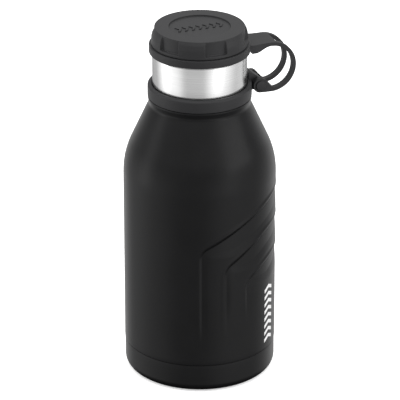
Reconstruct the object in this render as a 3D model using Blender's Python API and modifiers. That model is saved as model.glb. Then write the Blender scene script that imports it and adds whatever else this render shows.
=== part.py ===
"""Growler: a double-walled steel bottle with a tethered, insulated screw cap.

The bottle stands on the XY plane with its axis on +Z, and the tether lies along +X.
All sizes are in metres.
"""

import math

import bmesh
import bpy

# ---------------------------------------------------------------- driving dimensions

SEGMENTS = 36                 # flats round every large turned piece
SMALL_SEGMENTS = 16           # flats round pins, beads and pellets
GAP = 0.0003                  # space left between pieces that touch
STEEL = 0.0005                # wall of the steel shells
MERGE = 0.00001               # merge distance for turned meshes

# Outer vessel
BODY_R = 0.0598
SEAM_Z = 0.0235               # joint between the shell and the base cup
SHOULDER_Z = 0.1660           # height where the shoulder starts to curve in
SHOULDER_BEND_R = 0.0650
CONE_DEG = 25.0               # slope of the shoulder cone from the vertical
BEAD_R = 0.0403               # raised bead that the collar rests on
BEAD_Z = (0.2262, 0.2300)
NECK_R = 0.0367
NECK_TOP_Z = 0.2649
LIP_TOP_Z = 0.2660
SPIGOT_R = 0.0581             # part of the shell that slides into the base cup
SPIGOT_Z = 0.0085

# Inner vessel
LINER_R = 0.0552
LINER_FOOT_Z = 0.0129
LINER_SHOULDER_Z = 0.1680
LINER_BEND_R = 0.0600
LINER_NECK_R = 0.0322
BOTTOM_DISC_Z = 0.0110

# Things in the vacuum space
FOIL_R = 0.0564
FOIL_THICK = 0.0004
FOIL_Z = (0.0200, 0.1600)
OUTER_BOTTOM_R = 0.0569
OUTER_BOTTOM_Z = 0.0068
VENT_R = 0.0015
GETTER_X = 0.0250
GETTER_R = 0.0035

# Base
CUP_R = 0.0595
CUP_WALL = 0.0010
CUP_FOOT_R = 0.0543
CUP_FOOT_Z = 0.0006
CUP_CURVE_Z = 0.0072          # height where the cup's wall becomes straight
PAD_R = 0.0530
PAD_TOP_Z = 0.0020

# Thread
THREAD_LEAD = 0.0090
THREAD_STARTS = 2
THREAD_SWEEP_DEG = 220.0
RIDGE_R = 0.0008
MOUTH_RIDGE_R = 0.0313
MOUTH_RIDGE_Z = 0.2562
PLUG_RIDGE_R = 0.0301

# Collar and pin
COLLAR_R = 0.04045
COLLAR_BORE_R = 0.03715
COLLAR_Z = (0.2303, 0.2403)
PIN_X = 0.0460
PIN_Z = 0.2351
PIN_R = 0.0018
PIN_HEAD_R = 0.0040
PIN_BORE_R = 0.0021
TONGUE_HALF = 0.0068
TONGUE_EYE_R = 0.0047
TONGUE_TOP_Z = 0.2444

# Strap
STRAP_HALF = 0.0119
STRAP_THICK = 0.0030
STRAP_SLOT_HALF = 0.00715
EAR_R = 0.0058
LOOP_X = 0.0550
LOOP_Z = 0.2494
LOOP_R = 0.0204
SLOT_X = 0.0586               # the long slot between the rails starts here

# Tether ring
RING_R = 0.0392
RING_BOTTOM_Z = 0.2664
RING_LIP_Z = 0.27035
RING_TOP_Z = 0.2726
RING_SKIRT_BORE_R = 0.0357
RING_BORE_R = 0.0334
TAB_HALF = 0.0129
TAB_ROOT_Z = 0.2628

# Cap
CAP_R = 0.0375
CAP_SHOULDER_R = 0.0372
CAP_SHOULDER_Z = 0.2810
CAP_FLAT_R = 0.0346
CAP_TOP_Z = 0.2866
CAP_BOTTOM_Z = 0.2729
CAP_DISC_R = 0.0236
CAP_DISC_DEPTH = 0.0013
CAP_CAVITY_R = 0.0326
CAP_CAVITY_Z = (0.2752, 0.2834)
HUB_R = 0.0331
HUB_BORE_R = 0.0286
HUB_Z = 0.2703
GRIP_COUNT = 6
GRIP_FIRST_DEG = 30.0
GRIP_HALF = 0.0086
GRIP_FLOOR_R = 0.0353
GRIP_BOTTOM_Z = 0.2751
FLANGE_R = 0.0352
FLANGE_Z = (0.2684, 0.2700)
PLUG_R = 0.0299
PLUG_BORE_R = 0.0282
PLUG_Z = (0.2520, 0.2536)
GASKET_R = (0.0320, 0.0346)
GASKET_Z = (0.2663, 0.2681)

CHARCOAL = (0.040, 0.040, 0.043)
BLACK = (0.012, 0.012, 0.013)
STEEL_COLOUR = (0.60, 0.60, 0.60)


# ---------------------------------------------------------------- helpers

def clear_scene():
    """Remove every object that the file opened with."""
    for thing in list(bpy.data.objects):
        bpy.data.objects.remove(thing, do_unlink=True)


def new_collection(name):
    group = bpy.data.collections.new(name)
    bpy.context.scene.collection.children.link(group)
    return group


def new_material(name, colour, roughness, metallic=0.0):
    """One Principled material with a plain colour."""
    made = bpy.data.materials.new(name)
    made.use_nodes = True
    shader = made.node_tree.nodes["Principled BSDF"]
    shader.inputs["Base Color"].default_value = (*colour, 1.0)
    shader.inputs["Roughness"].default_value = roughness
    shader.inputs["Metallic"].default_value = metallic
    return made


def add_part(thing, finish):
    """Put a finished piece in the growler's collection with its material."""
    PARTS.objects.link(thing)
    thing.data.materials.append(finish)
    return thing


def boolean(piece, tool, operation="DIFFERENCE"):
    """Cut a tool from a piece, or join it on."""
    CUTTERS.objects.link(tool)
    tool.hide_render = True
    tool.display_type = "WIRE"
    change = piece.modifiers.new(tool.name, "BOOLEAN")
    change.operation = operation
    change.solver = "EXACT"
    change.object = tool


def bend(centre, size, start_deg, end_deg, steps):
    """Points of a round or oval stretch of a profile, both ends included."""
    points = []
    for i in range(steps + 1):
        angle = math.radians(start_deg + (end_deg - start_deg) * i / steps)
        points.append((centre[0] + size[0] * math.cos(angle), centre[1] + size[1] * math.sin(angle)))
    return points


def shoulder(radius, foot_z, bend_r, end_r):
    """A shoulder's line from its narrow end down: the cone's end, then the bend to the wall."""
    curve = bend((radius - bend_r, foot_z), (bend_r, bend_r), CONE_DEG, 0.0, 6)
    top_r, top_z = curve[0]
    end_z = top_z + (top_r - end_r) / math.tan(math.radians(CONE_DEG))
    return [(end_r, end_z)] + curve


def turned(name, profile, closed=False, wall=0.0, steps=SEGMENTS, centre=(0.0, 0.0)):
    """A piece turned round a vertical axis through centre.

    The profile is a list of (radius, height) that runs down the outer side. A closed
    profile is the section of a ring, and wall thickens an open one inwards.
    """
    mesh = bpy.data.meshes.new(name)
    count = len(profile)
    edges = [(i, i + 1) for i in range(count - 1)]
    if closed:
        edges.append((count - 1, 0))
    mesh.from_pydata([(r, 0.0, z) for r, z in profile], edges, [])
    thing = bpy.data.objects.new(name, mesh)
    thing.location = (centre[0], centre[1], 0.0)
    screw = thing.modifiers.new("turn", "SCREW")
    screw.axis = "Z"
    screw.steps = steps
    screw.render_steps = steps
    screw.use_merge_vertices = True
    screw.merge_threshold = MERGE
    screw.use_smooth_shade = True
    if wall:
        shell = thing.modifiers.new("wall", "SOLIDIFY")
        shell.thickness = wall
        shell.offset = -1.0
        shell.use_even_offset = True
    return thing


def disc(name, radius, low_z, high_z, steps=SEGMENTS, centre=(0.0, 0.0)):
    profile = [(0.0, high_z), (radius, high_z), (radius, low_z), (0.0, low_z)]
    return turned(name, profile, steps=steps, centre=centre)


def ring(name, inner_r, outer_r, low_z, high_z):
    profile = [(outer_r, high_z), (outer_r, low_z), (inner_r, low_z), (inner_r, high_z)]
    return turned(name, profile, closed=True)


def box(name, low, high):
    """A box between two corners."""
    mesh = bpy.data.meshes.new(name)
    work = bmesh.new()
    bmesh.ops.create_cube(work, size=1.0)
    for vertex in work.verts:
        vertex.co = [a + (b - a) * (t + 0.5) for a, b, t in zip(low, high, vertex.co)]
    work.to_mesh(mesh)
    work.free()
    return bpy.data.objects.new(name, mesh)


def pin_disc(name, radius, low_y, high_y):
    """A cylinder along Y on the pin's axis, with its origin on that axis."""
    mesh = bpy.data.meshes.new(name)
    work = bmesh.new()
    bmesh.ops.create_cone(
        work,
        cap_ends=True,
        segments=SMALL_SEGMENTS,
        radius1=radius,
        radius2=radius,
        depth=high_y - low_y,
    )
    for vertex in work.verts:
        x, y, z = vertex.co
        vertex.co = (x, z + (low_y + high_y) / 2, -y)
    work.to_mesh(mesh)
    work.free()
    thing = bpy.data.objects.new(name, mesh)
    thing.location = (PIN_X, 0.0, PIN_Z)
    return thing


def as_mesh(source):
    """The mesh object that a curve object evaluates to, welded, in the curve's place."""
    PARTS.objects.link(source)
    bpy.context.view_layer.update()
    graph = bpy.context.evaluated_depsgraph_get()
    mesh = bpy.data.meshes.new_from_object(source.evaluated_get(graph))
    work = bmesh.new()
    work.from_mesh(mesh)
    bmesh.ops.remove_doubles(work, verts=work.verts, dist=MERGE)
    bmesh.ops.recalc_face_normals(work, faces=work.faces)
    work.to_mesh(mesh)
    work.free()
    name = source.name
    made = bpy.data.objects.new(name, mesh)
    made.matrix_world = source.matrix_world
    bpy.data.objects.remove(source, do_unlink=True)
    made.name = name
    return made


def side_slab(name, points, half_width):
    """A slab whose outline lies in the XZ plane, reaching half_width to either side of it."""
    curve = bpy.data.curves.new(name, "CURVE")
    curve.dimensions = "2D"
    curve.fill_mode = "BOTH"
    curve.extrude = half_width
    spline = curve.splines.new("POLY")
    spline.points.add(len(points) - 1)
    for point, (x, z) in zip(spline.points, points):
        point.co = (x, z, 0.0, 1.0)
    spline.use_cyclic_u = True
    thing = bpy.data.objects.new(name, curve)
    thing.rotation_euler = (math.radians(90.0), 0.0, 0.0)
    return as_mesh(thing)


def thread_ridge(name, radius, start_z, start_deg):
    """One round ridge of the right-hand thread."""
    curve = bpy.data.curves.new(name, "CURVE")
    curve.dimensions = "3D"
    curve.bevel_depth = RIDGE_R
    curve.bevel_resolution = 1
    curve.use_fill_caps = True
    steps = round(THREAD_SWEEP_DEG / 10.0)
    spline = curve.splines.new("POLY")
    spline.points.add(steps)
    for i, point in enumerate(spline.points):
        swept = THREAD_SWEEP_DEG * i / steps
        angle = math.radians(start_deg + swept)
        height = start_z + THREAD_LEAD * swept / 360.0
        point.co = (radius * math.cos(angle), radius * math.sin(angle), height, 1.0)
    return as_mesh(bpy.data.objects.new(name, curve))


def add_thread(piece, radius, start_z):
    """Join the ridges of every start to a piece."""
    for start in range(THREAD_STARTS):
        name = f"{piece.name}_ridge_{start + 1}"
        boolean(piece, thread_ridge(name, radius, start_z, 360.0 * start / THREAD_STARTS), "UNION")


# ---------------------------------------------------------------- outer vessel

def make_outer_shell():
    low, high = BEAD_Z
    profile = [(NECK_R - STEEL, high), (BEAD_R - 0.0006, high), (BEAD_R, high - 0.0006)]
    profile += [(BEAD_R, low + 0.0008), (BEAD_R - 0.0007, low)]
    profile += shoulder(BODY_R, SHOULDER_Z, SHOULDER_BEND_R, BEAD_R - 0.0016)
    profile += [(BODY_R, SEAM_Z + GAP), (SPIGOT_R, SEAM_Z + GAP), (SPIGOT_R, SPIGOT_Z)]
    add_part(turned("outer_shell", profile, wall=STEEL), new_material("coating", BLACK, 0.42))


def make_neck_shell():
    piece = ring("neck_shell", NECK_R - STEEL, NECK_R, BEAD_Z[1] + GAP, NECK_TOP_Z)
    add_part(piece, new_material("brushed_steel", STEEL_COLOUR, 0.25, 1.0))


def make_base_cup():
    rise = CUP_CURVE_Z - CUP_FOOT_Z
    curve_r = CUP_R - CUP_FOOT_R
    recess_z = PAD_TOP_Z + GAP
    floor_z = recess_z + CUP_WALL
    recess_r = PAD_R + GAP
    centre = (CUP_FOOT_R, CUP_CURVE_Z)
    profile = [(CUP_R, SEAM_Z)] + bend(centre, (curve_r, rise), 0.0, -90.0, 5)
    profile += [(recess_r, CUP_FOOT_Z), (recess_r, recess_z), (0.0, recess_z), (0.0, floor_z)]
    inner = (curve_r - CUP_WALL, CUP_CURVE_Z - floor_z)
    profile += bend(centre, inner, -90.0, 0.0, 4) + [(CUP_R - CUP_WALL, SEAM_Z)]
    add_part(turned("base_cup", profile, closed=True), new_material("base_coating", BLACK, 0.42))


def make_foot_pad():
    profile = [(0.0, PAD_TOP_Z), (PAD_R, PAD_TOP_Z), (PAD_R, 0.0006), (PAD_R - 0.0006, 0.0), (0.0, 0.0)]
    add_part(turned("foot_pad", profile), new_material("pad_rubber", BLACK, 0.8))


# ---------------------------------------------------------------- inner vessel

def make_inner_liner():
    """The inner bottle: straight wall, shoulder, mouth with its thread, and the rolled lip."""
    outer = [(NECK_R, LIP_TOP_Z), (NECK_R, NECK_TOP_Z + GAP), (LINER_NECK_R, NECK_TOP_Z + GAP)]
    outer += shoulder(LINER_R, LINER_SHOULDER_Z, LINER_BEND_R, LINER_NECK_R)
    outer.append((LINER_R, LINER_FOOT_Z))
    inner = [(LINER_NECK_R - STEEL, LIP_TOP_Z)]
    inner += shoulder(LINER_R - STEEL, LINER_SHOULDER_Z, LINER_BEND_R - STEEL, LINER_NECK_R - STEEL)
    inner.append((LINER_R - STEEL, LINER_FOOT_Z))
    piece = turned("inner_liner", outer + inner[::-1], closed=True)
    add_part(piece, new_material("liner_steel", STEEL_COLOUR, 0.3, 1.0))
    add_thread(piece, MOUTH_RIDGE_R, MOUTH_RIDGE_Z)


def make_liner_bottom():
    piece = disc("liner_bottom", LINER_R, BOTTOM_DISC_Z, LINER_FOOT_Z - GAP)
    add_part(piece, new_material("liner_bottom_steel", STEEL_COLOUR, 0.3, 1.0))


# ---------------------------------------------------------------- vacuum space

def make_foil_wrap():
    piece = ring("foil_wrap", FOIL_R - FOIL_THICK, FOIL_R, *FOIL_Z)
    add_part(piece, new_material("foil", (0.80, 0.55, 0.40), 0.2, 1.0))


def make_outer_bottom():
    """The disc that closes the outer vessel, dimpled round its vent hole."""
    thick = 0.0010
    dimple = 0.0012
    low, high = OUTER_BOTTOM_Z, OUTER_BOTTOM_Z + thick
    profile = [(VENT_R, high + dimple), (0.0065, high + dimple), (0.0080, high)]
    profile += [(OUTER_BOTTOM_R, high), (OUTER_BOTTOM_R, low), (0.0072, low)]
    profile += [(0.0057, low + dimple), (VENT_R, low + dimple)]
    piece = turned("outer_bottom", profile, closed=True)
    add_part(piece, new_material("bottom_steel", STEEL_COLOUR, 0.35, 1.0))


def make_vacuum_seal():
    """The bead of sealing glass under the vent."""
    low = OUTER_BOTTOM_Z + 0.0001
    profile = [(0.0, low + 0.0008), (0.0034, low + 0.0008), (0.0040, low + 0.0004)]
    profile += [(0.0034, low), (0.0, low)]
    piece = turned("vacuum_seal", profile, steps=SMALL_SEGMENTS)
    add_part(piece, new_material("sealing_glass", (0.10, 0.12, 0.14), 0.2))


def make_getter():
    """The pellet that soaks up stray gas, in its spring clip."""
    clip_z = OUTER_BOTTOM_Z + 0.0013
    inner = GETTER_R + GAP
    clip = box(
        "getter_clip",
        (GETTER_X - inner - 0.0005, -GETTER_R, clip_z),
        (GETTER_X + inner + 0.0005, GETTER_R, clip_z + 0.0020),
    )
    add_part(clip, new_material("clip_steel", STEEL_COLOUR, 0.35, 1.0))
    channel = box(
        "getter_clip_channel",
        (GETTER_X - inner, -2 * GETTER_R, clip_z + 0.0005),
        (GETTER_X + inner, 2 * GETTER_R, clip_z + 0.0040),
    )
    boolean(clip, channel)
    low = clip_z + 0.0005 + GAP
    pellet = disc("getter", GETTER_R, low, low + 0.0016, SMALL_SEGMENTS, (GETTER_X, 0.0))
    add_part(pellet, new_material("getter_grey", (0.12, 0.12, 0.12), 0.6))


# ---------------------------------------------------------------- collar, pin and strap

def make_collar_ring():
    """The band that turns on the neck, with the tongue that carries the strap's pin."""
    low, high = COLLAR_Z
    profile = [(0.0388, high), (0.0400, high - 0.0005), (COLLAR_R, high - 0.0019)]
    profile += [(COLLAR_R, low + 0.0008), (COLLAR_R - 0.0006, low)]
    profile += [(COLLAR_BORE_R, low), (COLLAR_BORE_R, high)]
    piece = turned("collar_ring", profile, closed=True)
    add_part(piece, new_material("collar_plastic", CHARCOAL, 0.55))
    root = 0.0377
    tongue = [(root, TONGUE_TOP_Z), (0.0410, TONGUE_TOP_Z)]
    tongue += bend((PIN_X, PIN_Z), (TONGUE_EYE_R, TONGUE_EYE_R), 50.0, -90.0, 9)
    tongue.append((root, PIN_Z - TONGUE_EYE_R))
    boolean(piece, side_slab("collar_tongue", tongue, TONGUE_HALF), "UNION")
    boolean(piece, pin_disc("collar_pin_bore", PIN_BORE_R, -0.0100, 0.0100))


def make_pivot_pin():
    head_y = STRAP_HALF + GAP
    thick = 0.0010
    pin = pin_disc("pivot_pin", PIN_R, -head_y - thick / 2, STRAP_HALF)
    add_part(pin, new_material("pin_plastic", CHARCOAL, 0.5))
    boolean(pin, pin_disc("pin_head", PIN_HEAD_R, -head_y - thick, -head_y), "UNION")
    cap = pin_disc("pin_cap", PIN_HEAD_R, head_y, head_y + thick)
    add_part(cap, new_material("pin_cap_plastic", CHARCOAL, 0.5))


def make_tether_strap():
    """The looped strap: two rails that end in ears on the pin."""
    inner_r = LOOP_R - STRAP_THICK
    centre = (LOOP_X, LOOP_Z)
    start_x = LOOP_X + GAP
    outline = [(start_x, LOOP_Z + LOOP_R)]
    outline += bend(centre, (LOOP_R, LOOP_R), 85.0, -90.0, 16)
    outline += bend((PIN_X, PIN_Z), (EAR_R, EAR_R), -90.0, -330.0, 13)
    outline += bend(centre, (inner_r, inner_r), -84.0, 84.0, 14)
    outline.append((start_x, LOOP_Z + inner_r))
    piece = side_slab("tether_strap", outline, STRAP_HALF)
    add_part(piece, new_material("strap_plastic", CHARCOAL, 0.55))
    half = STRAP_SLOT_HALF
    boolean(piece, box("strap_slot", (SLOT_X, -half, 0.2200), (0.0800, half, 0.2800)))
    tongue_end = PIN_X + TONGUE_EYE_R + 0.0005
    boolean(piece, box("strap_fork", (0.0380, -half, 0.2200), (tongue_end, half, 0.2450)))
    boolean(piece, pin_disc("strap_pin_bore", PIN_BORE_R, -0.0140, 0.0140))


def make_tether_ring():
    """The ring that is held under the knob, with the tab that carries the strap."""
    profile = [(RING_R - 0.0003, RING_TOP_Z), (RING_R, RING_TOP_Z - 0.0004), (RING_R, RING_BOTTOM_Z)]
    profile += [(RING_SKIRT_BORE_R, RING_BOTTOM_Z), (RING_SKIRT_BORE_R, RING_LIP_Z)]
    profile += [(RING_BORE_R, RING_LIP_Z), (RING_BORE_R, RING_TOP_Z)]
    piece = turned("tether_ring", profile, closed=True)
    add_part(piece, new_material("ring_plastic", CHARCOAL, 0.55))
    top = LOOP_Z + LOOP_R
    under_root = NECK_R + 0.0018
    tab = [(0.0364, top), (LOOP_X, top), (LOOP_X, top - STRAP_THICK), (under_root, TAB_ROOT_Z)]
    tab += [(under_root, RING_BOTTOM_Z + 0.0002), (0.0364, RING_BOTTOM_Z + 0.0002)]
    boolean(piece, side_slab("ring_tab", tab, TAB_HALF), "UNION")


# ---------------------------------------------------------------- cap

def make_cap_gasket():
    add_part(ring("cap_gasket", *GASKET_R, *GASKET_Z), new_material("gasket_silicone", (0.6, 0.6, 0.58), 0.6))


def make_cap_shell():
    """The knob: recessed top, finger grips, and a hollow hub that the tether ring turns on."""
    disc_z = CAP_TOP_Z - CAP_DISC_DEPTH
    profile = [(0.0, disc_z), (CAP_DISC_R, disc_z), (CAP_DISC_R + 0.0003, CAP_TOP_Z)]
    edge = (CAP_SHOULDER_R - CAP_FLAT_R, CAP_TOP_Z - CAP_SHOULDER_Z)
    profile += bend((CAP_FLAT_R, CAP_SHOULDER_Z), edge, 90.0, 0.0, 5)
    profile += [(CAP_R, CAP_BOTTOM_Z), (HUB_R, CAP_BOTTOM_Z), (HUB_R, HUB_Z), (HUB_BORE_R, HUB_Z)]
    profile += [(HUB_BORE_R, CAP_CAVITY_Z[0]), (CAP_CAVITY_R, CAP_CAVITY_Z[0])]
    profile += [(CAP_CAVITY_R, CAP_CAVITY_Z[1]), (0.0, CAP_CAVITY_Z[1])]
    piece = turned("cap_shell", profile)
    add_part(piece, new_material("knob_plastic", CHARCOAL, 0.5))
    for i in range(GRIP_COUNT):
        low = (GRIP_FLOOR_R, -GRIP_HALF, GRIP_BOTTOM_Z)
        cutter = box(f"grip_{i + 1}", low, (0.0420, GRIP_HALF, 0.2900))
        cutter.rotation_euler = (0.0, 0.0, math.radians(GRIP_FIRST_DEG + 360.0 * i / GRIP_COUNT))
        boolean(piece, cutter)


def make_cap_plug():
    """The insulated stopper's wall, with the thread and the flange that clamps the gasket."""
    low, floor = PLUG_Z
    under, top = FLANGE_Z
    profile = [(PLUG_BORE_R, top), (FLANGE_R, top), (FLANGE_R, under), (PLUG_R, under)]
    profile += [(PLUG_R, low + 0.0008), (PLUG_R - 0.0008, low), (0.0, low)]
    profile += [(0.0, floor), (PLUG_BORE_R, floor)]
    piece = turned("cap_plug", profile, closed=True)
    add_part(piece, new_material("plug_plastic", CHARCOAL, 0.5))
    pitch = THREAD_LEAD / THREAD_STARTS
    add_thread(piece, PLUG_RIDGE_R, MOUTH_RIDGE_Z - pitch / 2)


def make_cap_insulation():
    """Foam that fills the stopper and the knob."""
    wide = CAP_CAVITY_R - 0.0004
    narrow = PLUG_BORE_R - GAP
    top, step = CAP_CAVITY_Z[1] - GAP, CAP_CAVITY_Z[0] + GAP
    profile = [(0.0, top), (wide, top), (wide, step), (narrow, step)]
    profile += [(narrow, PLUG_Z[1] + GAP), (0.0, PLUG_Z[1] + GAP)]
    add_part(turned("cap_insulation", profile), new_material("foam", (0.75, 0.72, 0.60), 0.9))


clear_scene()
PARTS = new_collection("growler")
CUTTERS = new_collection("growler_cutters")
CUTTERS.hide_render = True

make_outer_shell()
make_neck_shell()
make_base_cup()
make_foot_pad()
make_inner_liner()
make_liner_bottom()
make_foil_wrap()
make_outer_bottom()
make_vacuum_seal()
make_getter()
make_collar_ring()
make_pivot_pin()
make_tether_strap()
make_tether_ring()
make_cap_gasket()
make_cap_shell()
make_cap_plug()
make_cap_insulation()
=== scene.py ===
"""Growler: detailed surfaces, finishes and a plain studio for a tethered steel bottle.

Sizes are in metres. The bottle's axis is +Z and the looped strap lies along +X.
"""

import math

import bmesh
import bpy
import numpy as np
from bpy.props import FloatProperty, FloatVectorProperty, IntProperty, PointerProperty
from bpy.types import Operator, Panel, PropertyGroup
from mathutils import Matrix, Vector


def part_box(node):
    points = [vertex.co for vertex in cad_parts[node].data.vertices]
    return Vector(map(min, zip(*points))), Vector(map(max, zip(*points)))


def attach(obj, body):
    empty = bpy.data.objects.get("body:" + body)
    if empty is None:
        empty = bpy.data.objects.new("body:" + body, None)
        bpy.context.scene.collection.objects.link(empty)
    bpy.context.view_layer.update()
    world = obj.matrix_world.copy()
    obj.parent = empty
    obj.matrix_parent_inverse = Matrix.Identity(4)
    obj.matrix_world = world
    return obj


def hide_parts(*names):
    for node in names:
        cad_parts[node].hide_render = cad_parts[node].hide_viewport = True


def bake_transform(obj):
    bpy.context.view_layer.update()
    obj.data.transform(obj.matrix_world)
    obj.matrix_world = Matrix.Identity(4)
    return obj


bl_info = {
    "name": "Growler Maker",
    "version": (1, 0, 0),
    "blender": (4, 5, 0),
    "location": "View3D > Sidebar > Growler",
    "description": "Builds the surfaces, finishes and stage of an insulated growler",
    "category": "Add Mesh",
}

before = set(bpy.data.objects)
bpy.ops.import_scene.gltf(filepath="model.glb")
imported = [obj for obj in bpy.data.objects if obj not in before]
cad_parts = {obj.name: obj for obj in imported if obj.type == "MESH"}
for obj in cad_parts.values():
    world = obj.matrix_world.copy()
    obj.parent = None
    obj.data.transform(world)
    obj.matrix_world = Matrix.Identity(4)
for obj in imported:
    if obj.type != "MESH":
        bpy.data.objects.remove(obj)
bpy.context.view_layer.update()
TURN = 2.0 * math.pi


# ---------------------------------------------------------------- shapes as arrays

def rounded(points, radii, closed=False, steps=6):
    """A line of corners with each one rounded.

    Each corner P becomes the curve (1-s)^2 A + 2 s (1-s) P + s^2 C, where A and C lie
    radius / tan(half the corner's angle) before and after it.
    """
    corner = np.asarray(points, float)
    before, after = np.roll(corner, 1, axis=0), np.roll(corner, -1, axis=0)
    if not closed:
        before[0], after[-1] = corner[0], corner[-1]
    back, ahead = before - corner, after - corner
    back_len, ahead_len = np.linalg.norm(back, axis=1), np.linalg.norm(ahead, axis=1)
    safe_back, safe_ahead = np.maximum(back_len, 1e-12), np.maximum(ahead_len, 1e-12)
    u, v = back / safe_back[:, None], ahead / safe_ahead[:, None]
    half = np.arccos(np.clip((u * v).sum(axis=1), -1.0, 1.0)) / 2.0
    reach = np.broadcast_to(np.asarray(radii, float), half.shape) / np.maximum(np.tan(half), 1e-6)
    reach = np.minimum(reach, 0.49 * np.minimum(back_len, ahead_len))
    a, c = corner + u * reach[:, None], corner + v * reach[:, None]
    s = np.linspace(0.0, 1.0, steps + 1)[None, :, None]
    path = (1 - s) ** 2 * a[:, None] + 2 * s * (1 - s) * corner[:, None] + s ** 2 * c[:, None]
    path = path.reshape(-1, 2)
    keep = np.ones(len(path), bool)
    keep[1:] = np.linalg.norm(np.diff(path, axis=0), axis=1) > 1e-7
    return path[keep]


def arc(centre, size, start_deg, end_deg, steps):
    """Points centre + size * (cos a, sin a) for evenly spaced angles a."""
    a = np.radians(np.linspace(start_deg, end_deg, steps + 1))
    return np.stack([centre[0] + size[0] * np.cos(a), centre[1] + size[1] * np.sin(a)], axis=1)


def spaced(path, spacing):
    """The same line with points added so that none are further apart than spacing."""
    path = np.asarray(path, float)
    lengths = np.linalg.norm(np.diff(path, axis=0), axis=1)
    pieces = np.maximum(np.ceil(lengths / spacing).astype(int), 1)
    at = np.repeat(np.arange(len(pieces)), pieces)
    first = np.repeat(np.cumsum(pieces) - pieces, pieces)
    t = (np.arange(pieces.sum()) - first) / pieces[at]
    inside = path[at] + t[:, None] * (path[at + 1] - path[at])
    return np.vstack([inside, path[-1:]])


def resampled(path, count):
    """The line at count points that are evenly spaced along its length."""
    path = np.asarray(path, float)
    along = np.concatenate([[0.0], np.cumsum(np.linalg.norm(np.diff(path, axis=0), axis=1))])
    at = np.linspace(0.0, along[-1], count)
    return np.stack([np.interp(at, along, path[:, 0]), np.interp(at, along, path[:, 1])], axis=1)


def smooth(low, high, value):
    """0 below low, 1 above high and 3t^2 - 2t^3 between them."""
    t = np.clip((value - low) / (high - low), 0.0, 1.0)
    return t * t * (3.0 - 2.0 * t)


def revolve(profile, angles):
    """The grid (r cos a, r sin a, z) over the profile's points and the angles."""
    r, z = profile[:, 0][:, None], profile[:, 1][:, None]
    a = angles[None, :]
    return np.stack([r * np.cos(a), r * np.sin(a), z + 0.0 * a], axis=-1)


def grid_shell(grid, close_rows=False, close_columns=True):
    """(points, faces) of a grid of points, joined end to end where asked."""
    rows, columns = grid.shape[:2]
    index = np.arange(rows * columns).reshape(rows, columns)
    if close_rows:
        index = np.vstack([index, index[:1]])
    if close_columns:
        index = np.hstack([index, index[:, :1]])
    quads = np.stack([index[:-1, :-1], index[:-1, 1:], index[1:, 1:], index[1:, :-1]], axis=-1)
    return grid.reshape(-1, 3), quads.reshape(-1, 4).tolist()


def ring_angles(steps):
    return np.arange(steps) * TURN / steps


def turned_shell(profile, closed=False, steps=192):
    return grid_shell(revolve(np.asarray(profile), ring_angles(steps)), close_rows=closed)


def slab_shell(outline, low, high, edge, plane="XZ", steps=4):
    """A flat outline carried from low to high along the third axis, with rounded edges.

    The layer at angle a of the edge is moved in by edge * (1 - sin a) and lies
    edge * (1 - cos a) from the slab's face.
    """
    outline = np.asarray(outline, float)
    ahead, behind = np.roll(outline, -1, axis=0), np.roll(outline, 1, axis=0)
    along = ahead - behind
    along /= np.linalg.norm(along, axis=1)[:, None]
    area = (outline[:, 0] * ahead[:, 1] - ahead[:, 0] * outline[:, 1]).sum()
    inward = np.stack([-along[:, 1], along[:, 0]], axis=1) * np.sign(area)
    a = np.linspace(0.0, math.pi / 2, steps + 1)
    inset = np.concatenate([edge * (1 - np.sin(a)), edge * (1 - np.sin(a))[::-1]])
    level = np.concatenate([low + edge * (1 - np.cos(a)), high - edge * (1 - np.cos(a))[::-1]])
    flat = outline[None] + inward[None] * inset[:, None, None]
    third = np.broadcast_to(level[:, None], flat.shape[:2])
    order = {"XZ": (0, 2, 1), "XY": (0, 1, 2)}[plane]
    stacked = np.stack([flat[..., 0], flat[..., 1], third], axis=-1)
    grid = np.empty_like(stacked)
    grid[..., order[0]] = stacked[..., 0]
    grid[..., order[1]] = stacked[..., 1]
    grid[..., order[2]] = stacked[..., 2]
    points, faces = grid_shell(grid)
    count = len(outline)
    last = len(points) - count
    faces.append(list(range(count)))
    faces.append(list(range(last, last + count))[::-1])
    return points, faces


def helix_shell(radius, start_z, lead, sweep_deg, start_deg, thick):
    """A round ridge on a helix, (R cos a, R sin a, z0 + lead a / 2 pi), thinning to its ends."""
    t = np.linspace(0.0, 1.0, 121)[:, None]
    around = np.linspace(0.0, TURN, 16, endpoint=False)[None, :]
    taper = np.sqrt(np.clip(1.0 - np.abs(2.0 * t - 1.0) ** 14, 0.0, 1.0))
    a = np.radians(start_deg + sweep_deg * t)
    r = radius + thick * taper * np.cos(around)
    z = start_z + lead * sweep_deg * t / 360.0 + thick * taper * np.sin(around)
    return grid_shell(np.stack([r * np.cos(a), r * np.sin(a), z], axis=-1))


def build(name, shells):
    """One mesh object from shells of points and faces, welded and facing outwards."""
    points, faces, start = [], [], 0
    for shell_points, shell_faces in shells:
        points.append(shell_points)
        faces += [[i + start for i in face] for face in shell_faces]
        start += len(shell_points)
    mesh = bpy.data.meshes.new(name)
    mesh.from_pydata(np.vstack(points).tolist(), [], faces)
    work = bmesh.new()
    work.from_mesh(mesh)
    bmesh.ops.remove_doubles(work, verts=work.verts, dist=1e-7)
    bmesh.ops.dissolve_degenerate(work, edges=work.edges, dist=1e-8)
    bmesh.ops.recalc_face_normals(work, faces=work.faces)
    work.to_mesh(mesh)
    work.free()
    mesh.polygons.foreach_set("use_smooth", np.ones(len(mesh.polygons), bool))
    piece = bpy.data.objects.new(name, mesh)
    bpy.context.scene.collection.objects.link(piece)
    return piece


def finish_piece(piece, finish, body, slot, *nodes):
    """Give a piece its finish, its body and the CAD nodes that it stands for."""
    piece.data.materials.append(finish)
    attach(piece, body)
    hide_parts(*nodes)


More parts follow.
